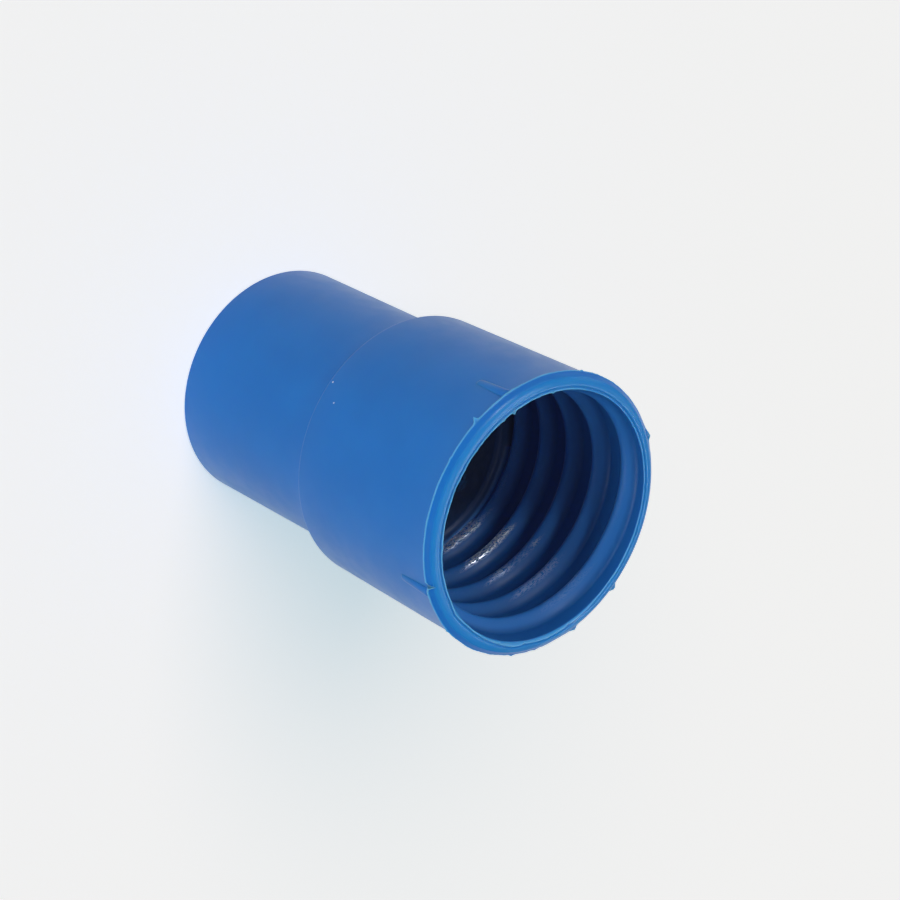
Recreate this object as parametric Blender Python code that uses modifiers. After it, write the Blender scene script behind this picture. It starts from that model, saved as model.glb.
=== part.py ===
"""A screw-on hose cuff, moulded in one piece from soft blue plastic.

The cuff stands on its plain spigot end with the threaded mouth up.
The origin is the middle of the spigot's end face, and sizes are in metres.
"""

import math

import bmesh
import bpy

# Spigot: the plain end that pushes onto a tool or a tank fitting.
SPIGOT_RADIUS = 0.0225
SPIGOT_WALL = 0.0035
SPIGOT_LENGTH = 0.0395
END_EDGE_RADIUS = 0.0005

# Barrel: the wider end that screws over the hose.
BARREL_RADIUS = 0.0254
BARREL_LENGTH = 0.0375
BARREL_DRAFT = 0.0006
SHOULDER_EDGE_RADIUS = 0.0008
SHOULDER_FOOT_RADIUS = 0.0006

# Socket: the hollow of the barrel, down to the stop that the hose end meets.
SOCKET_WALL = 0.0019
STOP_THICKNESS = 0.0040
STOP_EDGE_RADIUS = 0.0012
SOCKET_CORNER_RADIUS = 0.0008

# Lip: the rounded rim of the mouth, with a low bead on its parting line.
LIP_HEIGHT = 0.0016
LIP_FLAT = 0.0004
LIP_INNER_EDGE = 0.0003
PARTING_BEAD = 0.0005
PARTING_BEAD_WIDTH = 0.0009

# Thread: one coarse right-hand ridge that lies in the hose's own spiral.
THREAD_PITCH = 0.0073
THREAD_DEPTH = 0.0022
THREAD_WIDTH = 0.0034
THREAD_START_ANGLE = math.radians(-63)
THREAD_START_RISE = 0.0002
THREAD_START_FADE = math.radians(168)
THREAD_END_SINK = 0.0004
THREAD_END_FADE = math.radians(40)
THREAD_ROOT = 0.0008
THREAD_FOOT = 0.0003
THREAD_TIP = 0.05

# Ribs: low fins outside the mouth that die away down the barrel.
RIB_COUNT = 4
RIB_LENGTH = 0.0078
RIB_TAIL = 0.0023
RIB_WIDTH = 0.0021
RIB_RISE = 0.0008
RIB_ROUNDING = 0.0003

# Smoothness of the round forms.
TURN_STEPS = 64
LIP_STEPS = 8
FILLET_STEPS = 3
RIDGE_STEPS = 7
SMOOTH_ANGLE = math.radians(35)
WELD = 0.000001

# The plastic's colour, as linear red, green, blue and alpha.
PLASTIC_BLUE = (0.030, 0.150, 0.440, 1.0)

# Heights and radii that follow from the sizes above.
SPIGOT_BORE_RADIUS = SPIGOT_RADIUS - SPIGOT_WALL
SHOULDER_HEIGHT = SPIGOT_LENGTH
STOP_HEIGHT = SHOULDER_HEIGHT + STOP_THICKNESS
PARTING_HEIGHT = SHOULDER_HEIGHT + BARREL_LENGTH
SOCKET_RADIUS = BARREL_RADIUS - SOCKET_WALL
MOUTH_RADIUS = BARREL_RADIUS + BARREL_DRAFT


def clear_scene():
    """Take away whatever the scene already holds."""
    for obj in list(bpy.data.objects):
        bpy.data.objects.remove(obj, do_unlink=True)


def add_collection(name):
    """Make a collection and hang it under the scene."""
    collection = bpy.data.collections.new(name)
    bpy.context.scene.collection.children.link(collection)
    return collection


def add_object(name, data, collection):
    """Put a mesh or a curve into the scene as an object."""
    obj = bpy.data.objects.new(name, data)
    collection.objects.link(obj)
    return obj


def blue_plastic():
    """Satin blue moulded plastic, the same all the way through."""
    material = bpy.data.materials.new("blue_plastic")
    material.use_nodes = True
    shader = material.node_tree.nodes["Principled BSDF"]
    shader.inputs["Base Color"].default_value = PLASTIC_BLUE
    shader.inputs["Roughness"].default_value = 0.38
    shader.inputs["Metallic"].default_value = 0.0
    material.diffuse_color = PLASTIC_BLUE
    return material


def arc(centre, radii, start, end, steps):
    """Points on an arc of a circle or an ellipse, angles in degrees."""
    points = []
    for i in range(steps + 1):
        angle = math.radians(start + (end - start) * i / steps)
        x = centre[0] + radii[0] * math.cos(angle)
        z = centre[1] + radii[1] * math.sin(angle)
        points.append((x, z))
    return points


def lip_profile():
    """The lip: from the bore's edge over the dome to the bead outside."""
    crown_radius = MOUTH_RADIUS + PARTING_BEAD
    flat_radius = SOCKET_RADIUS + LIP_INNER_EDGE + LIP_FLAT
    top = PARTING_HEIGHT + LIP_HEIGHT
    inner_edge = [(SOCKET_RADIUS, top - LIP_INNER_EDGE), (SOCKET_RADIUS + LIP_INNER_EDGE, top)]
    dome = arc((flat_radius, PARTING_HEIGHT), (crown_radius - flat_radius, LIP_HEIGHT), 90, 0, LIP_STEPS)
    bead_foot = [(MOUTH_RADIUS, PARTING_HEIGHT - PARTING_BEAD_WIDTH)]
    return inner_edge + dome + bead_foot


def shoulder_profile():
    """The step from the barrel in to the spigot, rounded at edge and foot."""
    edge = SHOULDER_EDGE_RADIUS
    foot = SHOULDER_FOOT_RADIUS
    outer = arc((BARREL_RADIUS - edge, SHOULDER_HEIGHT + edge), (edge, edge), 0, -90, FILLET_STEPS)
    inner = arc((SPIGOT_RADIUS + foot, SHOULDER_HEIGHT - foot), (foot, foot), 90, 180, FILLET_STEPS)
    return outer + inner


def spigot_end_profile():
    """The flat end of the spigot, with both of its edges just broken."""
    edge = END_EDGE_RADIUS
    outer = arc((SPIGOT_RADIUS - edge, edge), (edge, edge), 0, -90, FILLET_STEPS)
    inner = arc((SPIGOT_BORE_RADIUS + edge, edge), (edge, edge), -90, -180, FILLET_STEPS)
    return outer + inner


def stop_profile():
    """The inside step that the hose end meets, rounded into the bore."""
    edge = STOP_EDGE_RADIUS
    corner = SOCKET_CORNER_RADIUS
    inner = arc((SPIGOT_BORE_RADIUS + edge, STOP_HEIGHT - edge), (edge, edge), 180, 90, FILLET_STEPS)
    outer = arc((SOCKET_RADIUS - corner, STOP_HEIGHT + corner), (corner, corner), -90, 0, FILLET_STEPS)
    return inner + outer


def turned_body(collection):
    """Turn the wall's closed section about the axis."""
    section = lip_profile() + shoulder_profile() + spigot_end_profile() + stop_profile()
    mesh = bpy.data.meshes.new("hose_cuff")
    edges = [(i, (i + 1) % len(section)) for i in range(len(section))]
    mesh.from_pydata([(x, 0.0, z) for x, z in section], edges, [])
    body = add_object("hose_cuff", mesh, collection)
    screw = body.modifiers.new("Turned", "SCREW")
    screw.axis = "Z"
    screw.steps = TURN_STEPS
    screw.render_steps = TURN_STEPS
    screw.use_merge_vertices = True
    screw.merge_threshold = WELD
    return body


def ridge_section(collection):
    """Cross-section of the thread: a bell that rises from inside the wall."""
    half_width = THREAD_WIDTH / 2
    points = [(0.0, -half_width / 2), (0.0, half_width / 2)]
    for i in range(RIDGE_STEPS + 1):
        across = 1 - 2 * i / RIDGE_STEPS
        bell = (1 + math.cos(math.pi * across)) / 2
        height = THREAD_ROOT - THREAD_FOOT + (THREAD_DEPTH + THREAD_FOOT) * bell
        points.append((height, half_width * across))
    curve = bpy.data.curves.new("thread_section", "CURVE")
    curve.dimensions = "2D"
    spline = curve.splines.new("POLY")
    spline.points.add(len(points) - 1)
    spline.use_cyclic_u = True
    for point, (inward, up) in zip(spline.points, points):
        point.co = (inward, up, 0.0, 1.0)
    return add_object("thread_section", curve, collection)


def thread_path(section, collection):
    """Wind the ridge down the socket wall, from a long slow start into the stop."""
    start_height = PARTING_HEIGHT + THREAD_START_RISE
    end_height = STOP_HEIGHT - THREAD_END_SINK
    turns = (start_height - end_height) / THREAD_PITCH
    count = math.floor(turns * TURN_STEPS)
    curve = bpy.data.curves.new("thread_path", "CURVE")
    curve.dimensions = "3D"
    curve.twist_mode = "Z_UP"
    curve.bevel_mode = "OBJECT"
    curve.bevel_object = section
    curve.use_fill_caps = True
    spline = curve.splines.new("POLY")
    spline.points.add(count)
    for i, point in enumerate(spline.points):
        turned = math.tau * i / TURN_STEPS
        left = math.tau * (count - i) / TURN_STEPS
        angle = THREAD_START_ANGLE - turned
        radius = SOCKET_RADIUS + THREAD_ROOT
        height = start_height - THREAD_PITCH * i / TURN_STEPS
        point.co = (radius * math.cos(angle), radius * math.sin(angle), height, 1.0)
        size = min(turned / THREAD_START_FADE, left / THREAD_END_FADE, 1.0)
        point.radius = max(size, THREAD_TIP)
    return add_object("thread_path", curve, collection)


def thread_ridge(collection):
    """Make the wound ridge a closed mesh that can be joined to the wall."""
    section = ridge_section(collection)
    path = thread_path(section, collection)
    bpy.context.view_layer.update()
    evaluated = path.evaluated_get(bpy.context.evaluated_depsgraph_get())
    mesh = bpy.data.meshes.new_from_object(evaluated)
    weld = bmesh.new()
    weld.from_mesh(mesh)
    bmesh.ops.remove_doubles(weld, verts=weld.verts, dist=WELD)
    bmesh.ops.recalc_face_normals(weld, faces=weld.faces)
    weld.to_mesh(mesh)
    weld.free()
    ridge = add_object("thread_ridge", mesh, collection)
    ridge.matrix_world = path.matrix_world
    bpy.data.objects.remove(path, do_unlink=True)
    bpy.data.objects.remove(section, do_unlink=True)
    return ridge


def rib(number, collection):
    """One fin on the barrel, highest at the lip and flush at its far end."""
    angle = math.tau * number / RIB_COUNT
    drop = RIB_RISE + BARREL_DRAFT * RIB_LENGTH / BARREL_LENGTH
    depth = RIB_RISE + SOCKET_WALL / 2
    length = RIB_LENGTH + RIB_TAIL
    shape = bmesh.new()
    bmesh.ops.create_cube(shape, size=1.0)
    bmesh.ops.scale(shape, vec=(depth, RIB_WIDTH, length), verts=shape.verts)
    bmesh.ops.translate(shape, vec=(-depth / 2, 0.0, -length / 2), verts=shape.verts)
    mesh = bpy.data.meshes.new("rib")
    shape.to_mesh(mesh)
    shape.free()
    fin = add_object("rib_%d" % (number + 1), mesh, collection)
    reach = MOUTH_RADIUS + RIB_RISE
    fin.location = (reach * math.cos(angle), reach * math.sin(angle), PARTING_HEIGHT)
    fin.rotation_euler = (0.0, math.atan2(drop, RIB_LENGTH), angle)
    rounding = fin.modifiers.new("Rounded", "BEVEL")
    rounding.width = RIB_ROUNDING
    rounding.segments = 2
    return fin


def join(body, pieces):
    """Join the ridge and the ribs to the wall, so that the cuff is one solid."""
    union = body.modifiers.new("Moulded in one", "BOOLEAN")
    union.operation = "UNION"
    union.operand_type = "COLLECTION"
    union.collection = pieces
    union.solver = "EXACT"
    for piece in pieces.objects:
        piece.hide_render = True
        piece.display_type = "WIRE"


def shade(body):
    """Shade the round faces smooth and keep the true edges sharp."""
    bpy.context.view_layer.update()
    evaluated = body.evaluated_get(bpy.context.evaluated_depsgraph_get())
    mesh = bpy.data.meshes.new_from_object(evaluated)
    mesh.shade_smooth()
    mesh.set_sharp_from_angle(angle=SMOOTH_ANGLE)
    body.modifiers.clear()
    body.data = mesh
    body.data.materials.append(blue_plastic())


def main():
    clear_scene()
    cuff = add_collection("hose_cuff")
    joined = add_collection("hose_cuff_joined_forms")
    body = turned_body(cuff)
    thread_ridge(joined)
    for number in range(RIB_COUNT):
        rib(number, joined)
    join(body, joined)
    shade(body)


main()
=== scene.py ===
# %% [markdown]
# # A screw-on hose cuff in blue moulded plastic
#
# The object is one piece of soft blue plastic. Its narrow end, the spigot, pushes onto a tool.
# Its wide end, the barrel, has a coarse thread inside and screws over the end of a spiral hose.
# The CAD model already has these forms. This lesson makes the finer piece that is seen: the thin
# flash that the mould leaves round the mouth, the thread that swells out of the wall, the scuffs
# on it, and the satin skin of the plastic.

import math

import bmesh
import bpy
from mathutils import Matrix, Vector, noise


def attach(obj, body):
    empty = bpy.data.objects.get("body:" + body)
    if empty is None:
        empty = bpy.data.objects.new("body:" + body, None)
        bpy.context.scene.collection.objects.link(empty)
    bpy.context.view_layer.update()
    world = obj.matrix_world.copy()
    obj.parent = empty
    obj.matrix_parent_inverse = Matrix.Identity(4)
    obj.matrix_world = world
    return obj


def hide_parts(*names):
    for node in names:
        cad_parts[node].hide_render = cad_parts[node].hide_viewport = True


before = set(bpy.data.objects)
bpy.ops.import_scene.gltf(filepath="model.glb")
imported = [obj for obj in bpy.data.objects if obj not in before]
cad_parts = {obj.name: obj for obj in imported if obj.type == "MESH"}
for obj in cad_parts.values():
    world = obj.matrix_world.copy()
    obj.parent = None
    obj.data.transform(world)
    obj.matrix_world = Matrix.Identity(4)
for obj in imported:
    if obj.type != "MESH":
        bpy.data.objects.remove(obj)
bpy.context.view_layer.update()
MM = 0.001

# %% [markdown]
# ## The camera
#
# The photograph shows the cuff lying on a table, seen from above with a long lens. Here the cuff
# stands on its spigot, because it can't roll away like that, so the camera is turned on its side
# to give the same picture. Its place and turn were found by fitting the round edges of the cuff.

# %% Place the camera
CAMERA_PLACE = (0.235924, -0.310705, 0.433420)
CAMERA_TURN = (-24.496, -39.614, 163.200)
LENS = 120.0
SENSOR = 36.0
NEAREST_SEEN = 0.01

camera_data = bpy.data.cameras.new("camera")
camera_data.lens = LENS
camera_data.sensor_width = SENSOR
camera_data.clip_start = NEAREST_SEEN
camera = bpy.data.objects.new("camera", camera_data)
camera.location = CAMERA_PLACE
camera.rotation_euler = [math.radians(turn) for turn in CAMERA_TURN]
bpy.context.scene.collection.objects.link(camera)
bpy.context.scene.camera = camera
print("Camera is %.0f mm from the axis" % (math.hypot(CAMERA_PLACE[0], CAMERA_PLACE[1]) / MM))

# %% [markdown]
# ## The section of the wall
#
# The cuff is a turned form, so it starts as one closed section of its wall, drawn at the right
# of the axis. A section drawn by hand would need every point of every rounding. It is easier to
# give only its corners, and to let the bevel operator round each corner by its own radius.
# The corners run down the outside, round the spigot's end and back up the inside. The lip has
# the most of them: a thin fin on its inner edge, a broad rounded crown, a flank that falls away
# outwards, and a second fin on the line where the mould parted.

# %% Corners of the section
SHOULDER = 39.5
STOP = 43.5
BARREL_RADIUS = 25.4
SPIGOT_RADIUS = 22.5
BORE_RADIUS = 19.0
SOCKET_RADIUS = 23.5

# Each corner is its radius, its height, its rounding and the steps in the rounding.
LIP_CORNERS = [
    (23.50, 78.28, 0.0, 0),
    (23.54, 78.56, 0.05, 2),
    (23.74, 78.58, 0.05, 2),
    (23.92, 78.20, 0.06, 2),
    (24.26, 78.50, 0.14, 4),
    (25.40, 78.46, 0.96, 12),
    (26.40, 77.22, 0.05, 2),
    (26.62, 77.10, 0.05, 2),
    (26.62, 76.86, 0.05, 2),
    (26.36, 76.78, 0.05, 2),
    (26.01, 76.45, 0.25, 3),
]
BODY_CORNERS = [
    (BARREL_RADIUS, SHOULDER, 0.8, 6),
    (SPIGOT_RADIUS, SHOULDER, 0.5, 5),
    (SPIGOT_RADIUS, 0.0, 0.5, 5),
    (BORE_RADIUS, 0.0, 0.5, 5),
    (BORE_RADIUS, STOP, 1.2, 8),
    (SOCKET_RADIUS, STOP, 0.8, 6),
]
corners = LIP_CORNERS + BODY_CORNERS
print("Section corners:", len(corners))

# %% [markdown]
# ## Round the corners
#
# The corners become the points of a small wire, joined by edges into one loop. The bevel
# operator works on the points of a wire as well as on the edges of a solid: it cuts each corner
# back by its own rounding and fills it with short steps. A moulding never has quite sharp
# corners, and a sharp one would catch no light.

# %% Draw the section and round its corners
shell = bmesh.new()
points = [shell.verts.new((radius * MM, 0.0, height * MM)) for radius, height, _, _ in corners]
for number, point in enumerate(points):
    shell.edges.new((points[number - 1], point))
for point, (_, _, rounding, steps) in zip(points, corners):
    if steps:
        bmesh.ops.bevel(
            shell,
            geom=[point],
            offset=rounding * MM,
            offset_type="OFFSET",
            segments=steps,
            profile=0.5,
            affect="VERTICES",
            material=-1,
        )
print("Section points after rounding:", len(shell.verts))

# %% [markdown]
# ## Rows for the detail
#
# Only the corners have points so far. The thread needs rows of points on the socket's long
# straight wall, so that edge is divided finely. The other long edges stay straight, and a few
# coarse rows are enough to keep their faces from being long slivers.

# %% Divide the long walls
SOCKET_ROW = 0.22
WALL_ROW = 8.0
LONG_WALL = 5.0
HAIR = 0.01  # in mm: two places closer than this count as the same


def divide(edge, row):
    """Cut one edge of the section into pieces about as long as a row."""
    cuts = math.floor(edge.calc_length() / MM / row)
    if cuts:
        bmesh.ops.subdivide_edges(shell, edges=[edge], cuts=cuts)


for edge in list(shell.edges):
    middle = (edge.verts[0].co + edge.verts[1].co) / 2
    at_socket = abs(middle.x / MM - SOCKET_RADIUS) < HAIR
    in_socket = at_socket and edge.calc_length() > LONG_WALL * MM
    divide(edge, SOCKET_ROW if in_socket else WALL_ROW)
print("Section points with rows:", len(shell.verts))

# %% [markdown]
# ## Marks that travel with the section
#
# The later steps, and the material that paints a highlight on the flash, need to know which points
# belong to the two thin lines of flash. They could be searched for in the finished shell, but a
# layer of numbers on the section's points is copied by the spin to every turn of it. So the marks
# are made once, here, while there are few points.

# %% Mark the flash
OUTER_FLASH = (26.62, 76.98)
INNER_FLASH = (23.64, 78.57)
FLASH_REACH = 0.18

outer_flash = shell.verts.layers.float.new("outer_flash")
inner_flash = shell.verts.layers.float.new("inner_flash")
for point in shell.verts:
    radius, height = point.co.x / MM, point.co.z / MM
    point[outer_flash] = math.dist((radius, height), OUTER_FLASH) < FLASH_REACH
    point[inner_flash] = math.dist((radius, height), INNER_FLASH) < FLASH_REACH
print("Points on the outer flash:", sum(point[outer_flash] for point in shell.verts))
print("Points on the inner flash:", sum(point[inner_flash] for point in shell.verts))

# %% [markdown]
# ## Turn the section
#
# The spin operator sweeps the section round the axis. With use_merge on, the last turn is
# welded to the first, so the wall closes without a seam. A spin can leave the faces pointing
# inwards, so they are turned outwards once the shape is closed.

# %% Spin the section into the wall
TURNS = 360

bmesh.ops.spin(
    shell,
    geom=list(shell.verts) + list(shell.edges),
    cent=(0.0, 0.0, 0.0),
    axis=(0.0, 0.0, 1.0),
    dvec=(0.0, 0.0, 0.0),
    angle=math.tau,
    steps=TURNS,
    use_merge=True,
    use_normal_flip=False,
    use_duplicate=False,
)
bmesh.ops.remove_doubles(shell, verts=shell.verts, dist=0.0001 * MM)
bmesh.ops.recalc_face_normals(shell, faces=shell.faces)
open_edges = sum(1 for edge in shell.edges if not edge.is_manifold)
print("Wall:", len(shell.faces), "faces,", open_edges, "open edges")

# %% [markdown]
# ## The thread
#
# Inside the barrel one coarse ridge winds down to the stop, right-handed, and lies in the
# hose's own spiral. It could be a separate swept strip, but then a hard line would show where
# it meets the wall. Instead the wall's own points are moved inwards, by a height that depends on
# how far along the spiral they are and how far above or below the crest. Across the ridge that
# height follows a squared cosine, which is round at the crest and runs out softly at the foot.
# Along it, the ridge swells slowly out of the wall below the lip, as it does on the real cuff,
# and ends in the stop.

# %% Height of the ridge at a point of the wall
PITCH = 7.3
RIDGE_DEPTH = 2.2
RIDGE_HALF_WIDTH = 2.6
START_DEGREES = 297.0
START_HEIGHT = 77.2
END_HEIGHT = 43.1
START_FADE = 168.0
END_FADE = 40.0
LIP_CLEAR = 78.25
LIP_FADE = 1.0


def ease(value):
    """Go smoothly from 0 to 1 as the value does."""
    value = min(max(value, 0.0), 1.0)
    return value * value * (3.0 - 2.0 * value)


def ridge_height(degrees, height):
    """How far the thread stands out of the wall here, from 0 to 1."""
    length = 360.0 * (START_HEIGHT - END_HEIGHT) / PITCH
    along = (START_DEGREES - degrees) % 360.0
    tallest = 0.0
    while along < length:
        crest = START_HEIGHT - PITCH * along / 360.0
        off_crest = min(abs(height - crest) / RIDGE_HALF_WIDTH, 1.0)
        across = math.cos(off_crest * math.pi / 2) ** 2
        ends = min(along / START_FADE, (length - along) / END_FADE, 1.0)
        tallest = max(tallest, across * ends)
        along += 360.0
    return tallest * ease((LIP_CLEAR - height) / LIP_FADE)


# %% [markdown]
# ## Raise the ridge
#
# Now every point of the socket's wall is asked how high the ridge is there, and it moves towards
# the axis by that much. The height is also kept on the point as a mark, because the finish
# needs to know later where the crest is.

# %% Move the wall's points to the ridge
CORNER_RADIUS = 22.6  # nearer to the axis than this, a point is on the stop's flat top


def place_of(point):
    """A point's radius and height in mm, and its degrees round the mouth."""
    radius = math.hypot(point.co.x, point.co.y) / MM
    degrees = math.degrees(math.atan2(point.co.y, point.co.x)) % 360.0
    return radius, point.co.z / MM, degrees


def set_radius(point, radius):
    """Move a point straight to or from the axis, to a new radius in mm."""
    times = radius / place_of(point)[0]
    point.co.x *= times
    point.co.y *= times


crest_mark = shell.verts.layers.float.new("crest")
moved = 0
for point in shell.verts:
    radius, height, degrees = place_of(point)
    on_wall = CORNER_RADIUS < radius < SOCKET_RADIUS + HAIR
    if not on_wall or not STOP - HAIR < height < LIP_CLEAR:
        continue
    rise = ridge_height(degrees, height)
    new_radius = min(radius, SOCKET_RADIUS - RIDGE_DEPTH * rise)
    if new_radius < radius:
        set_radius(point, new_radius)
        point[crest_mark] = rise
        moved += 1
print("Points moved for the thread:", moved)

# %% [markdown]
# ## The flash
#
# Where the halves of a mould meet, a little plastic creeps between them and leaves a thin
# ragged fin, called flash. This mouth has two: one outside, on the parting line, and one that
# stands at the front on the inner edge. The section already has both as even fins. They could
# be torn at random all the way round, but the eye goes straight to a nib in the wrong place. So
# the few large nibs are listed one by one, and only the fine raggedness between them is noise.

# %% Where the flash is torn
# Each nib is its place round the mouth in degrees, its length, half its width in degrees, and
# how far it curls up over the lip. The one with a length below zero hooks back over the lip.
OUTER_NIBS = [
    (287.0, 1.15, 1.2, 0.0),
    (114.5, 0.60, 2.4, 0.35),
    (91.0, 0.12, 2.0, 0.50),
    (181.0, 0.12, 2.6, 0.62),
    (59.0, 0.30, 1.5, 0.0),
    (97.0, 0.08, 1.2, 0.0),
    (356.0, -0.85, 1.3, 1.42),
    (2.0, 0.12, 1.2, 0.3),
    (233.0, 0.20, 1.2, 0.0),
    (139.0, 0.10, 1.8, 0.0),
    (20.0, 0.20, 1.2, 0.0),
    (304.0, 0.15, 1.2, 0.0),
    (71.0, 0.20, 2.0, 0.0),
]
INNER_NIBS = [
    (272.0, 0.60, 1.2, 0.0),
    (250.0, 0.25, 1.2, 0.0),
    (278.0, 0.20, 1.2, 0.0),
    (87.0, 0.20, 1.2, 0.0),
    (62.0, 0.25, 1.2, 0.0),
    (47.0, 0.20, 1.2, 0.0),
    (193.0, 0.15, 1.2, 0.0),
    (305.0, 0.10, 1.2, 0.0),
    (340.0, 0.15, 1.2, 0.0),
]


def degrees_apart(first, second):
    """The shorter way round the mouth from one place to another."""
    return abs((first - second + 180.0) % 360.0 - 180.0)


def nib(degrees, nibs):
    """Extra length of the flash near a torn nib, and how far it curls up there."""
    longest, curl = 0.0, 0.0
    for place, length, half_width, most_curl in nibs:
        share = max(0.0, 1.0 - degrees_apart(degrees, place) / half_width)
        longest = max(longest, length * share, key=abs)
        curl = max(curl, most_curl * share)
    return longest, curl


print("Nibs on the flash:", len(OUTER_NIBS) + len(INNER_NIBS))

# %% [markdown]
# ## Where the inner flash wanders
#
# The inner line of flash doesn't keep to its edge. On one side of the mouth it leaves the edge and
# runs over the lip, and further round the highlight painted on it is faint, so that it hardly shows.
# Both are read from short tables of places, going evenly from one to the next.

# %% How the inner flash strays, and how strong its painted highlight is
# How far the inner flash has strayed out over the lip: degrees round the mouth, and mm.
STRAYS = [
    (0.0, 0.0), (7.0, 0.0), (14.0, 0.32), (24.0, 0.02), (34.0, 0.12), (44.0, 0.28),
    (55.0, 0.68), (64.0, 0.30), (74.0, 0.55), (92.0, 0.30), (108.0, 0.0), (360.0, 0.0),
]
# How strongly the highlight painted on the inner flash shows: degrees round the mouth, and a share
# of its full strength.
INNER_PAINTED_HIGHLIGHT = [
    (0.0, 1.0), (132.0, 1.0), (145.0, 0.45), (194.0, 0.45), (200.0, 0.15), (228.0, 0.15),
    (238.0, 1.0), (360.0, 1.0),
]
# A point this far from the axis strays fully, and one that far doesn't stray at all.
STRAY_FULL = 24.0
STRAY_NONE = 25.2
LIP_FACE = 78.1


def between(degrees, table):
    """Read a table of places and values round the mouth, going evenly from one to the next."""
    for (start, first), (end, second) in zip(table, table[1:]):
        if start <= degrees <= end:
            return first + (second - first) * (degrees - start) / (end - start)
    return table[-1][1]


strayed = 0
for point in shell.verts:
    radius, height, degrees = place_of(point)
    if height > LIP_FACE and SOCKET_RADIUS + HAIR < radius < STRAY_NONE:
        share = min((STRAY_NONE - radius) / (STRAY_NONE - STRAY_FULL), 1.0)
        set_radius(point, radius + between(degrees, STRAYS) * share)
        strayed += 1
print("Points of the lip that can stray:", strayed)

# %% [markdown]
# ## Tear the flash
#
# With the large nibs and the strays known, fine raggedness is added from smooth noise. The noise
# is read along a ring in space and not along a line of degrees, so that it meets itself at the
# end of the turn. The outer flash also bulges a little over each rib, where the plastic had
# more room to creep.

# %% Make both lines of flash ragged
OUTER_RAGGED = 0.10
OUTER_TRIM = 0.2
INNER_RAGGED = 0.06
INNER_DROP = 0.12
INNER_TRIM = 0.6
RIB_DEGREES = (0.0, 90.0, 180.0, 270.0)
RIB_BULGE = 0.10
RIB_BULGE_DEGREES = 3.0
RIB_BULGE_FADE = 1.5
FLASH_LIMIT = 26.74  # the CAD model's box ends just past this
COARSE_TEAR = 9.0
FINE_TEAR = 45.0
FINE_SHARE = 0.6


def ragged(degrees, seed):
    """Uneven edge of torn plastic, from about -1 to 1, the same on every run."""
    turn = math.radians(degrees)
    around = Vector((math.cos(turn), math.sin(turn), seed))
    return noise.noise(around * COARSE_TEAR) + FINE_SHARE * noise.noise(around * FINE_TEAR)


def outer_edge(radius, degrees):
    """New radius of the outer flash, kept inside the CAD model's box."""
    from_rib = min(degrees_apart(degrees, rib) for rib in RIB_DEGREES)
    bulge = RIB_BULGE * ease(1.0 - (from_rib - RIB_BULGE_DEGREES) / RIB_BULGE_FADE)
    uneven = OUTER_RAGGED * (ragged(degrees, 1.0) - OUTER_TRIM)
    turn = math.radians(degrees)
    limit = FLASH_LIMIT / max(abs(math.cos(turn)), abs(math.sin(turn)))
    return min(radius + uneven + nib(degrees, OUTER_NIBS)[0] + bulge, limit)


def inner_edge(radius, degrees):
    """New radius of the inner flash, whose nibs point inwards."""
    return radius - INNER_RAGGED * ragged(degrees, 7.0) - nib(degrees, INNER_NIBS)[0]


for point in shell.verts:
    radius, height, degrees = place_of(point)
    if point[outer_flash]:
        set_radius(point, outer_edge(radius, degrees))
        point.co.z += nib(degrees, OUTER_NIBS)[1] * MM
    elif point[inner_flash]:
        set_radius(point, inner_edge(radius, degrees))
        point.co.z += min(0.0, INNER_DROP * (ragged(degrees, 4.0) - INNER_TRIM)) * MM
        # The inner flash's mark now holds the strength of its painted highlight.
        point[inner_flash] = between(degrees, INNER_PAINTED_HIGHLIGHT)
reach = max(place_of(point)[0] for point in shell.verts)
print("The longest nib reaches %.2f mm from the axis" % reach)

# %% [markdown]
# ## The ribs
#
# Four low ribs stand outside the mouth, a quarter turn apart. Each is highest at the lip and
# dies away down the barrel. A rib starts as a cube, is stretched, gets its edges rounded until
# it is nearly a round rod, and is then leaned so that its far end sinks into the wall. It stays
# a closed body of its own that stands in the wall. The two are the same plastic, so the line
# between them looks the same as a joined one.

# %% Add the four ribs
PARTING = 77.0
RIB_LENGTH = 7.8
RIB_TAIL = 0.9
RIB_WIDTH = 2.1
RIB_DEPTH = 2.0
RIB_REACH = 26.76
RIB_TOP = PARTING + 0.02
RIB_EDGE = 0.95
RIB_LEAN = math.atan2(0.60, RIB_LENGTH)


def add_rib(degrees):
    """Make one rib in the shell and turn it to its place."""
    made = bmesh.ops.create_cube(shell, size=1.0)["verts"]
    length = RIB_LENGTH + RIB_TAIL
    bmesh.ops.scale(shell, vec=(RIB_DEPTH * MM, RIB_WIDTH * MM, length * MM), verts=made)
    edges = list({edge for point in made for edge in point.link_edges})
    rounded = bmesh.ops.bevel(
        shell,
        geom=edges,
        offset=RIB_EDGE * MM,
        offset_type="OFFSET",
        segments=6,
        profile=0.5,
        affect="EDGES",
        material=-1,
    )
    made = list({point for face in rounded["faces"] for point in face.verts})
    bmesh.ops.translate(shell, vec=(-RIB_DEPTH / 2 * MM, 0.0, -length / 2 * MM), verts=made)
    lean = Matrix.Rotation(RIB_LEAN, 3, "Y")
    bmesh.ops.rotate(shell, cent=(0, 0, 0), matrix=lean, verts=made)
    bmesh.ops.translate(shell, vec=(RIB_REACH * MM, 0.0, RIB_TOP * MM), verts=made)
    turn = Matrix.Rotation(math.radians(degrees), 3, "Z")
    bmesh.ops.rotate(shell, cent=(0, 0, 0), matrix=turn, verts=made)


for degrees in RIB_DEGREES:
    add_rib(degrees)
print("Faces with the ribs:", len(shell.faces))
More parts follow.
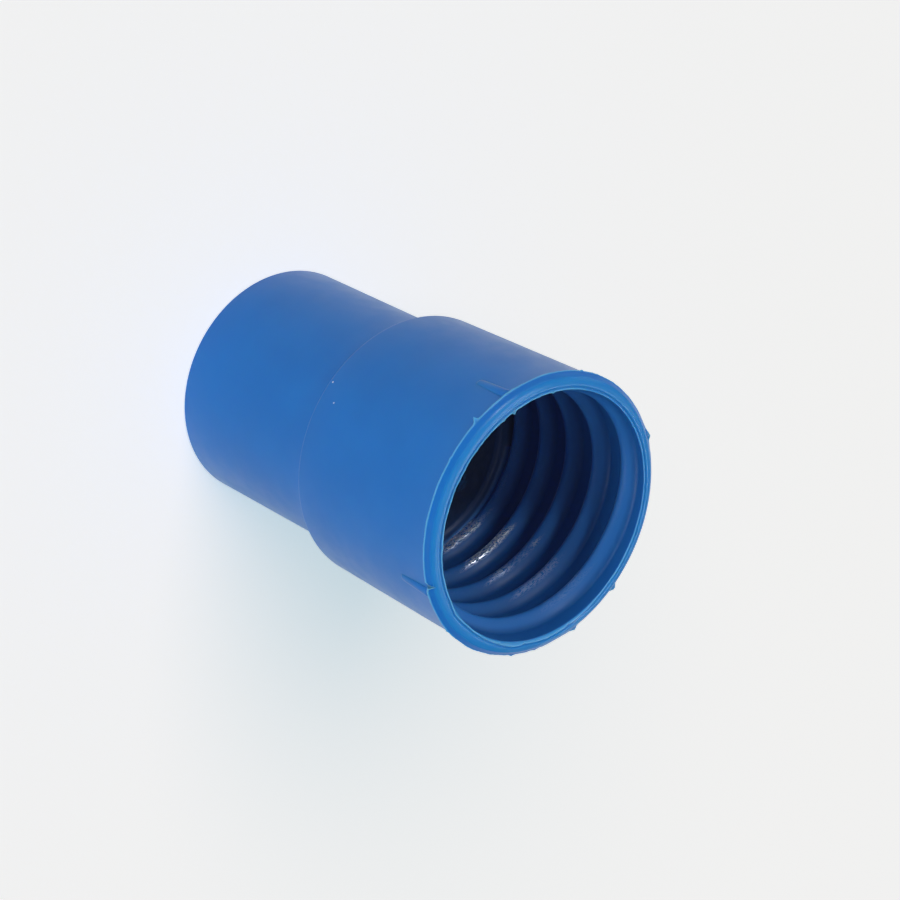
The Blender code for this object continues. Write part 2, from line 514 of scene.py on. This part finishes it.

# %% [markdown]
# ## From shell to object
#
# The shell is finished, so it becomes a mesh object. It stays at the origin, unturned, with its
# place in its points, as the CAD model's own parts do. It rides on the one body there is, and stands
# in for the plainer CAD cuff.

# %% Make the shell an object
cuff_mesh = bpy.data.meshes.new("moulded_cuff")
shell.to_mesh(cuff_mesh)
shell.free()
cuff_mesh.shade_smooth()
cuff = bpy.data.objects.new("moulded_cuff", cuff_mesh)
bpy.context.scene.collection.objects.link(cuff)
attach(cuff, "root")
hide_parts("hose_cuff")
cuff_mesh.calc_loop_triangles()
print("Triangles:", len(cuff_mesh.loop_triangles))

# %% [markdown]
# ## Blue plastic
#
# The cuff is dyed all through, so one material covers it. A flat colour would look like paint on
# a computer, not like a moulding. The real skin differs a little from place to place: the dye
# is mixed unevenly, the gloss changes where the plastic met the mould at another heat, and the
# surface has a fine grain. All of that comes from noise in the part's own coordinates, so it
# stays on the part when it is seen from another side.
#
# A little light goes into such plastic and comes out beside where it entered, which softens the
# shade on the thin lip. A faint glow painted into the whole plastic, like haze, keeps the deepest
# shade from going quite black, as the air and the lens do in a photograph.

# %% Start the material
GLOSS = 0.24
DEPTH_OF_LIGHT = 0.35
LIGHT_REACH = (0.15, 0.45, 1.0)
LIGHT_REACH_MM = 2.0
PAINTED_GLOW_HAZE = 0.0028

plastic = bpy.data.materials.new("blue_plastic_satin")
plastic.use_nodes = True
nodes = plastic.node_tree.nodes
links = plastic.node_tree.links
shader = nodes["Principled BSDF"]
shader.inputs["Specular IOR Level"].default_value = GLOSS
shader.inputs["Subsurface Weight"].default_value = DEPTH_OF_LIGHT
shader.inputs["Subsurface Radius"].default_value = LIGHT_REACH
shader.inputs["Subsurface Scale"].default_value = LIGHT_REACH_MM * MM
# Painted glow: the whole plastic glows faintly.
shader.inputs["Emission Strength"].default_value = PAINTED_GLOW_HAZE
cuff_mesh.materials.append(plastic)
print("Material started:", plastic.name)

# %% [markdown]
# ## Helpers for the nodes
#
# A material is a chain of small nodes. Written out one by one they would hide what the finish
# is made of, so each kind of node that is used more than once gets a short helper here.

# %% Noise, spans and sums
coordinates = nodes.new("ShaderNodeTexCoord")


def noise_at(scale, detail, stretch=(1.0, 1.0, 1.0)):
    """Noise in the part's own coordinates, with its scale in features to the metre."""
    mapping = nodes.new("ShaderNodeMapping")
    mapping.inputs["Scale"].default_value = stretch
    links.new(coordinates.outputs["Object"], mapping.inputs["Vector"])
    texture = nodes.new("ShaderNodeTexNoise")
    texture.inputs["Scale"].default_value = scale
    texture.inputs["Detail"].default_value = detail
    links.new(mapping.outputs["Vector"], texture.inputs["Vector"])
    return texture.outputs["Fac"]


def spread(value, span, first, last):
    """Go smoothly from a first number to a last one while a value crosses a span."""
    node = nodes.new("ShaderNodeMapRange")
    node.interpolation_type = "SMOOTHSTEP"
    node.inputs["From Min"].default_value = span[0]
    node.inputs["From Max"].default_value = span[1]
    node.inputs["To Min"].default_value = first
    node.inputs["To Max"].default_value = last
    links.new(value, node.inputs["Value"])
    return node.outputs["Result"]


def spread_mm(value, span, first, last):
    """The same over a span that is given in mm."""
    return spread(value, (span[0] * MM, span[1] * MM), first, last)


def sum_up(operation, first, second):
    """One step of arithmetic on two values or numbers."""
    node = nodes.new("ShaderNodeMath")
    node.operation = operation
    for socket, value in zip(node.inputs, (first, second)):
        if isinstance(value, (int, float)):
            socket.default_value = value
        else:
            links.new(value, socket)
    return node.outputs["Value"]


# %% [markdown]
# ## Helpers for colours and places
#
# Colours need a mixer of their own. A finish that belongs to one line of points, or to one spot,
# also has to know which mark the points carry, or how far away the spot is.

# %% Colours, marks and distances
def blend(amount, first, second):
    """Mix two colours, each a plain colour or another node's colour."""
    node = nodes.new("ShaderNodeMix")
    node.data_type = "RGBA"
    links.new(amount, node.inputs["Factor"])
    for name, colour in (("A", first), ("B", second)):
        socket = [entry for entry in node.inputs if entry.name == name and entry.type == "RGBA"][0]
        if isinstance(colour, tuple):
            socket.default_value = colour
        else:
            links.new(colour, socket)
    return [output for output in node.outputs if output.type == "RGBA"][0]


def mark(name):
    """Read one of the numbers stored on the mesh's points."""
    node = nodes.new("ShaderNodeAttribute")
    node.attribute_name = name
    return node.outputs["Fac"]


def away_from(spot):
    """Distance from a spot on the cuff, given in mm."""
    node = nodes.new("ShaderNodeVectorMath")
    node.operation = "DISTANCE"
    node.inputs[1].default_value = [place * MM for place in spot]
    links.new(coordinates.outputs["Object"], node.inputs[0])
    return node.outputs["Value"]


# %% [markdown]
# ## Inside, outside and lip
#
# The finish differs between the outside, the inside and the lip. Painting masks by hand would
# tie them to one mesh. The cuff is round, so a point's distance from the axis and its height
# say all that is needed. The spans lie a little off the wall itself, because a mask that changes
# just at the wall's own radius would draw a dark line along the foot of the ridge.

# %% Find the inside and the lip
SOCKET_SKIN = (SOCKET_RADIUS + 0.02, SOCKET_RADIUS + 0.08)
BORE_SKIN = (BORE_RADIUS + 0.6, BORE_RADIUS + 1.4)
SOCKET_FLOOR = (40.0, 42.0)
LIP_HEIGHTS = (77.7, 78.2)

apart = nodes.new("ShaderNodeSeparateXYZ")
links.new(coordinates.outputs["Object"], apart.inputs["Vector"])
sideways = apart.outputs["X"]
forward = apart.outputs["Y"]
height = apart.outputs["Z"]
squares = sum_up(
    "ADD",
    sum_up("MULTIPLY", sideways, sideways),
    sum_up("MULTIPLY", forward, forward),
)
radius = sum_up("SQRT", squares, 0.0)

in_socket = spread_mm(radius, SOCKET_SKIN, 1.0, 0.0)
above_floor = spread_mm(height, SOCKET_FLOOR, 0.0, 1.0)
in_bore = spread_mm(radius, BORE_SKIN, 1.0, 0.0)
inside = sum_up("MAXIMUM", sum_up("MULTIPLY", in_socket, above_floor), in_bore)
outside = sum_up("SUBTRACT", 1.0, inside)
lip = sum_up("MULTIPLY", spread_mm(height, LIP_HEIGHTS, 0.0, 1.0), outside)
print("Inside the socket: nearer to the axis than %.2f mm" % SOCKET_SKIN[1])

# %% [markdown]
# ## Colour
#
# The dye varies in soft clouds a centimetre or two wide. The thin lip is painted clearer and
# brighter than the solid wall, as painted light that came through it from behind, and the flash is
# painted paler still, as a painted highlight.
# In the grooves of the socket a darker blue is painted, as painted shade where the light has passed
# from wall to wall, and a darker one still in the bore. The crest of the thread keeps almost the
# outer blue, without the painted shade.

# %% Colour of the dye, the painted shade of the socket, and the painted light of the lip and the flash
BLUE = (0.006, 0.168, 0.570, 1.0)
BLUE_DEEP = (0.005, 0.154, 0.535, 1.0)
PAINTED_SHADE_BORE_BLUE = (0.020, 0.066, 0.195, 1.0)
PAINTED_SHADE_GROOVE_BLUE = (0.006, 0.100, 0.350, 1.0)
CREST_BLUE = (0.018, 0.160, 0.500, 1.0)
PAINTED_LIGHT_LIP_BLUE = (0.016, 0.225, 0.600, 1.0)
PAINTED_HIGHLIGHT_FLASH = (0.080, 0.360, 0.720, 1.0)
CLOUD_SCALE = 70.0
CLOUD_SPAN = (0.30, 0.70)
BORE_TOP = (44.0, 46.5)
CREST_SPAN = (0.0, 0.50)

clouds = spread(noise_at(CLOUD_SCALE, 3.0), CLOUD_SPAN, 0.0, 1.0)
above_bore = spread_mm(height, BORE_TOP, 0.0, 1.0)
risen = spread(mark("crest"), CREST_SPAN, 0.0, 1.0)
thin = sum_up("MAXIMUM", mark("outer_flash"), mark("inner_flash"))

colour = blend(clouds, BLUE_DEEP, BLUE)
# Painted shade: the socket is painted darker, and the bore darker still.
colour = blend(inside, colour, blend(above_bore, PAINTED_SHADE_BORE_BLUE, PAINTED_SHADE_GROOVE_BLUE))
# The crest of the thread is left without the painted shade.
colour = blend(risen, colour, CREST_BLUE)
# Painted light: the thin lip is painted brighter and clearer than the wall.
colour = blend(lip, colour, PAINTED_LIGHT_LIP_BLUE)
# Painted highlight: the flash is painted paler than the lip.
colour = blend(thin, colour, PAINTED_HIGHLIGHT_FLASH)
print("Blue of the dye:", BLUE[:3], "and in the grooves:", PAINTED_SHADE_GROOVE_BLUE[:3])

# %% [markdown]
# ## Scuffs and painted glints on the thread
#
# The crest of the ridge is scratched, as if a hose had been wound in and out. The scratches are fine
# flecks in strokes along the thread, painted pale, and they glint. Pale paint alone would look like
# chalk, so a fleck also turns partly into a mirror. They are painted thickest on one side of the
# socket and towards the bottom, where the lamps' glints show, so the pale flecks are partly wear and
# partly a painted glint.

# %% Scratch the crest and paint its glints
PALE_SCUFF_AND_GLINT = (0.930, 0.960, 1.000, 1.0)
FLECK_SCALE = 6500.0
FLECK_STRETCH = (0.25, 1.0, 1.0)
FLECK_SPAN = (0.40, 0.54)
PATCH_SCALE = 160.0
PATCH_SPAN = (0.40, 0.60)
PATCH_LEAST = 0.2
SCUFF_SPAN = (0.50, 0.85)
SCUFF_GLINT_SIDE = math.radians(99.0)
SCUFF_GLINT_REACH = (20.5, 21.2)
SCUFF_GLINT_LEAST = 0.03
SCUFF_GLINT_HEIGHTS = (46.0, 66.0)
SCUFF_GLINT_ABOVE = 0.20

flecks = spread(noise_at(FLECK_SCALE, 2.0, FLECK_STRETCH), FLECK_SPAN, 0.0, 1.0)
patches = spread(noise_at(PATCH_SCALE, 2.0), PATCH_SPAN, PATCH_LEAST, 1.0)
on_crest = spread(mark("crest"), SCUFF_SPAN, 0.0, 1.0)
to_side = sum_up(
    "ADD",
    sum_up("MULTIPLY", sideways, math.cos(SCUFF_GLINT_SIDE)),
    sum_up("MULTIPLY", forward, math.sin(SCUFF_GLINT_SIDE)),
)
scuff_glint_side = spread_mm(to_side, SCUFF_GLINT_REACH, SCUFF_GLINT_LEAST, 1.0)
deeper = spread_mm(height, SCUFF_GLINT_HEIGHTS, 1.0, SCUFF_GLINT_ABOVE)
scuff_glint_most = sum_up("MULTIPLY", sum_up("MULTIPLY", on_crest, scuff_glint_side), deeper)
scuff_and_glint = sum_up("MULTIPLY", sum_up("MULTIPLY", flecks, patches), scuff_glint_most)
# Partly wear, partly painted glint: pale flecks where the lamps' glints show.
colour = blend(scuff_and_glint, colour, PALE_SCUFF_AND_GLINT)
links.new(scuff_and_glint, shader.inputs["Metallic"])
# The scuffs, with their painted glint, are thickest at this angle.
print("The thread is worn most at %.0f degrees" % math.degrees(SCUFF_GLINT_SIDE))

# %% [markdown]
# ## A patch of painted light, and dust
#
# Deep in the bore a paler patch is painted on the pitted wall, as painted light, and two specks of
# dust lie on the barrel. Each is a small thing at one place, so it is made by the distance from its
# middle, and the patch is broken up by noise.

# %% Add the patch of painted light and the dust
PAINTED_LIGHT_PATCH_BLUE = (0.040, 0.260, 0.560, 1.0)
PALE_DUST = (0.650, 0.800, 0.880, 1.0)
BORE_PATCH = (-10.07, 16.11, 36.5)
PATCH_EDGE = (1.5, 3.6)
BLOTCH_SCALE = 900.0
BLOTCH_SPAN = (0.42, 0.60)
DUST = [(11.73, -22.53, 40.7), (14.53, -20.83, 43.8)]
DUST_EDGE = (0.10, 0.22)
DUST_COVER = 0.9

painted_light_blotches = spread(noise_at(BLOTCH_SCALE, 3.0), BLOTCH_SPAN, 0.0, 1.0)
near_painted_light_patch = spread_mm(away_from(BORE_PATCH), PATCH_EDGE, 1.0, 0.0)
# Painted light: a paler patch on the wall of the bore.
colour = blend(sum_up("MULTIPLY", painted_light_blotches, near_painted_light_patch), colour, PAINTED_LIGHT_PATCH_BLUE)
for speck in DUST:
    colour = blend(spread_mm(away_from(speck), DUST_EDGE, DUST_COVER, 0.0), colour, PALE_DUST)
links.new(colour, shader.inputs["Base Color"])
print("Specks of dust:", len(DUST))

# %% [markdown]
# ## Gloss
#
# Outside, the skin is satin: a lamp shows in it only as a broad sheen. The rounded lip gleams
# more. The socket is a little duller, and the rubbed crest duller again, except in its
# scratches. One number, the roughness, carries all of this, so the differences are added up.

# %% How rough the skin is
SATIN = 0.36
SOCKET_SATIN = 0.40
RUBBED = 0.50
LIP_GLEAM = 0.24
SCRATCH_GLEAM = 0.22
WEAR_SCALE = 260.0
WEAR_SPAN = (0.3, 0.7)
WEAR = 0.03
RUBBED_SPAN = (0.3, 0.8)

worn = spread(noise_at(WEAR_SCALE, 4.0), WEAR_SPAN, -WEAR, WEAR)
rubbed = spread(mark("crest"), RUBBED_SPAN, 0.0, RUBBED - SOCKET_SATIN)
gleam = spread(lip, (0.0, 1.0), 0.0, LIP_GLEAM - SATIN)
roughness = spread(inside, (0.0, 1.0), SATIN, SOCKET_SATIN)
for part in (gleam, worn, rubbed):
    roughness = sum_up("ADD", roughness, part)
roughness = sum_up("SUBTRACT", roughness, sum_up("MULTIPLY", scuff_and_glint, SCRATCH_GLEAM))
links.new(roughness, shader.inputs["Roughness"])
print("Roughness from", LIP_GLEAM, "on the lip to", RUBBED, "on the crest")

# %% [markdown]
# ## Grain
#
# The mould's grain is so fine that it is seen only as a softness in the sheen. It is made with
# a bump and not with points, because no outline shows it. The scratches get a stronger one, so
# that each glints at its own angle, and so does the wall of the bore, which is pitted.

# %% Grain, dimples, scratches and pits
GRAIN_SCALE = 2600.0
DIMPLE_SCALE = 500.0
PIT_SCALE = 700.0
GRAIN_RELIEF = 0.10
DIMPLE_RELIEF = 0.25
SCRATCH_RELIEF = 2.4
PIT_RELIEF = 4.0
RELIEF_HEIGHT = 0.03
PITTED_SKIN = (BORE_RADIUS + 0.1, BORE_RADIUS + 0.3)

bore_wall = spread_mm(radius, PITTED_SKIN, 1.0, 0.0)
pits = sum_up("MULTIPLY", noise_at(PIT_SCALE, 3.0), bore_wall)
relief = sum_up("MULTIPLY", noise_at(GRAIN_SCALE, 2.0), GRAIN_RELIEF)
for shape, strength in (
    (noise_at(DIMPLE_SCALE, 2.0), DIMPLE_RELIEF),
    (scuff_and_glint, SCRATCH_RELIEF),
    (pits, PIT_RELIEF),
):
    relief = sum_up("ADD", relief, sum_up("MULTIPLY", shape, strength))
bump = nodes.new("ShaderNodeBump")
bump.inputs["Strength"].default_value = 1.0
bump.inputs["Distance"].default_value = RELIEF_HEIGHT * MM
links.new(relief, bump.inputs["Height"])
links.new(bump.outputs["Normal"], shader.inputs["Normal"])
print("Material nodes:", len(nodes))

# %% [markdown]
# ## The floor
#
# The photograph's table is a plain near-white sheet with no visible edge. A curved backdrop
# could be built for that, but a large square does the same from above, and it is only one face.

# %% Lay the floor
FLOOR_SIZE = 3.0

flat = bmesh.new()
bmesh.ops.create_grid(flat, x_segments=1, y_segments=1, size=FLOOR_SIZE)
floor_mesh = bpy.data.meshes.new("floor")
flat.to_mesh(floor_mesh)
flat.free()
floor = bpy.data.objects.new("floor", floor_mesh)
bpy.context.scene.collection.objects.link(floor)
print("Floor is %.0f m wide" % (2 * FLOOR_SIZE))

# %% [markdown]
# ## The floor's paint
#
# A floor that is only painted white shows grey under soft light, and more lamps would bleach the
# cuff. So its shade comes from its own pale colour, and a little even glow is added for the
# camera and for reflections alone. It shows nearly white, with no more light on the cuff.

# %% Paint the floor
FLOOR_SHADE = (0.880, 0.885, 0.885, 1.0)
FLOOR_GLOW = (0.702, 0.907, 0.988, 1.0)
FLOOR_LIFT = 0.62
FLOOR_ROUGHNESS = 0.8

floor_paint = bpy.data.materials.new("pale_floor")
floor_paint.use_nodes = True
floor_nodes = floor_paint.node_tree.nodes
floor_links = floor_paint.node_tree.links
floor_shader = floor_nodes["Principled BSDF"]
floor_shader.inputs["Base Color"].default_value = FLOOR_SHADE
floor_shader.inputs["Roughness"].default_value = FLOOR_ROUGHNESS
floor_shader.inputs["Specular IOR Level"].default_value = 0.0
floor_shader.inputs["Emission Color"].default_value = FLOOR_GLOW
ray = floor_nodes.new("ShaderNodeLightPath")
seen = floor_nodes.new("ShaderNodeMath")
seen.operation = "MAXIMUM"
floor_links.new(ray.outputs["Is Camera Ray"], seen.inputs[0])
floor_links.new(ray.outputs["Is Glossy Ray"], seen.inputs[1])
lift = floor_nodes.new("ShaderNodeMath")
lift.operation = "MULTIPLY"
lift.inputs[1].default_value = FLOOR_LIFT
floor_links.new(seen.outputs["Value"], lift.inputs[0])
floor_links.new(lift.outputs["Value"], floor_shader.inputs["Emission Strength"])
floor_mesh.materials.append(floor_paint)
print("The floor's own glow is", FLOOR_LIFT)

# %% [markdown]
# ## The backdrop
#
# Past the floor's edge there is only the world. It gives a faint even light, and the camera
# alone sees it as a pale backdrop, so that a bright background puts no light on the cuff.

# %% Make the backdrop
SKY = 0.10
BACKDROP = 0.88
WHITE = (1.0, 1.0, 1.0, 1.0)

world = bpy.data.worlds.new("studio")
world.use_nodes = True
sky = world.node_tree.nodes["Background"]
sky.inputs["Color"].default_value = WHITE
sky_ray = world.node_tree.nodes.new("ShaderNodeLightPath")
sky_level = world.node_tree.nodes.new("ShaderNodeMix")
sky_level.inputs["A"].default_value = SKY
sky_level.inputs["B"].default_value = BACKDROP
world.node_tree.links.new(sky_ray.outputs["Is Camera Ray"], sky_level.inputs["Factor"])
world.node_tree.links.new(sky_level.outputs["Result"], sky.inputs["Strength"])
bpy.context.scene.world = world
print("Sky", SKY, "and backdrop", BACKDROP)

# %% [markdown]
# ## The light
#
# A lamp here is a soft patch of sky: a sun lamp with a wide angle, which lights evenly and has no
# place to be put. Every lamp is told what it lights. Light linking keeps the lamps of the cuff
# off the floor, so that the floor stays plain and gets one soft shadow from a lamp of its own.

# %% Sort out what each lamp lights
for_cuff = bpy.data.collections.new("lit_by_side_lamps")
for_cuff.objects.link(cuff)
for_floor = bpy.data.collections.new("lit_by_floor_lamp")
for_floor.objects.link(floor)


def broad_lamp(name, azimuth, elevation, level, width, lit, tint=(1.0, 1.0, 1.0)):
    """Even light from one part of the sky: a level of 1 shows white as white."""
    lamp = bpy.data.lights.new(name, "SUN")
    lamp.energy = level * math.pi
    lamp.color = tint
    lamp.angle = math.radians(width)
    holder = bpy.data.objects.new(name, lamp)
    turn, rise = math.radians(azimuth), math.radians(elevation)
    flat_share = math.cos(rise)
    towards = Vector((flat_share * math.cos(turn), flat_share * math.sin(turn), math.sin(rise)))
    holder.rotation_euler = towards.to_track_quat("Z", "Y").to_euler()
    bpy.context.scene.collection.objects.link(holder)
    holder.light_linking.receiver_collection = lit


print("Lamps light", for_cuff.name, "or", for_floor.name)

# %% [markdown]
# ## Rings of soft lamps
#
# The cuff was photographed on a white table under broad lamps, so pale light reached it from
# nearly every side, and the table itself stood close to one side of it. One or two large lamps
# can't follow that. So small soft lamps stand in rings at six heights, and each gets its own
# level. The levels were found by rendering the cuff under one lamp at a time, and by choosing
# the sum that comes nearest to the shades of the real one.

# %% Place the rings of lamps
# For each height above the floor in degrees: the azimuth of every lamp and its level.
RINGS = {
    3: {0: 0.086, 20: 0.123, 200: 0.048, 220: 0.040, 280: 0.061, 300: 0.135, 320: 0.094, 340: 0.157},
    14: {0: 0.156, 180: 0.023, 240: 0.015, 270: 0.039, 300: 0.052, 330: 0.024},
    28: {150: 0.025, 180: 0.017, 210: 0.017, 240: 0.013},
    44: {90: 0.016, 120: 0.021},
    62: {90: 0.072, 135: 0.127, 180: 0.130, 270: 0.015},
    82: {0: 0.038},
}
RING_WIDTH = 18.0

for elevation, ring in RINGS.items():
    for azimuth, level in ring.items():
        broad_lamp("side_lamp", azimuth, elevation, level, RING_WIDTH, for_cuff)
print("Lamps in the rings:", sum(len(ring) for ring in RINGS.values()))

# %% [markdown]
# ## Three lamps with a task of their own
#
# The rings are too soft for two small things: the glint on the scratches, and the bright streak
# along the crown of the lip. Each comes from one small lamp at the place where that surface
# mirrors it to the camera. The third lamp lights the floor alone. It is warm, which balances the
# floor's cool glow in the open and leaves the shadow a little blue, as on the real table.

# %% Place the last lamps
SMALL_WIDTH = 9.0
GLINT_LEVEL = 0.18
LIP_LEVEL = 0.08
FLOOR_LEVEL = 0.57
FLOOR_WIDTH = 50.0
FLOOR_TINT = (1.0, 0.637, 0.481)

broad_lamp("glint_lamp", 240, 50, GLINT_LEVEL, SMALL_WIDTH, for_cuff)
broad_lamp("lip_lamp", 127, 42, LIP_LEVEL, SMALL_WIDTH, for_cuff)
broad_lamp("floor_lamp", 280, 45, FLOOR_LEVEL, FLOOR_WIDTH, for_floor, FLOOR_TINT)
print("Lamps in all:", len(bpy.data.lights))

# %% [markdown]
# ## Finish
#
# The colours are shown plainly, with the standard view transform. The visual model must keep
# to the CAD model's box.

# %% Finish
bpy.context.scene.view_settings.view_transform = "Standard"
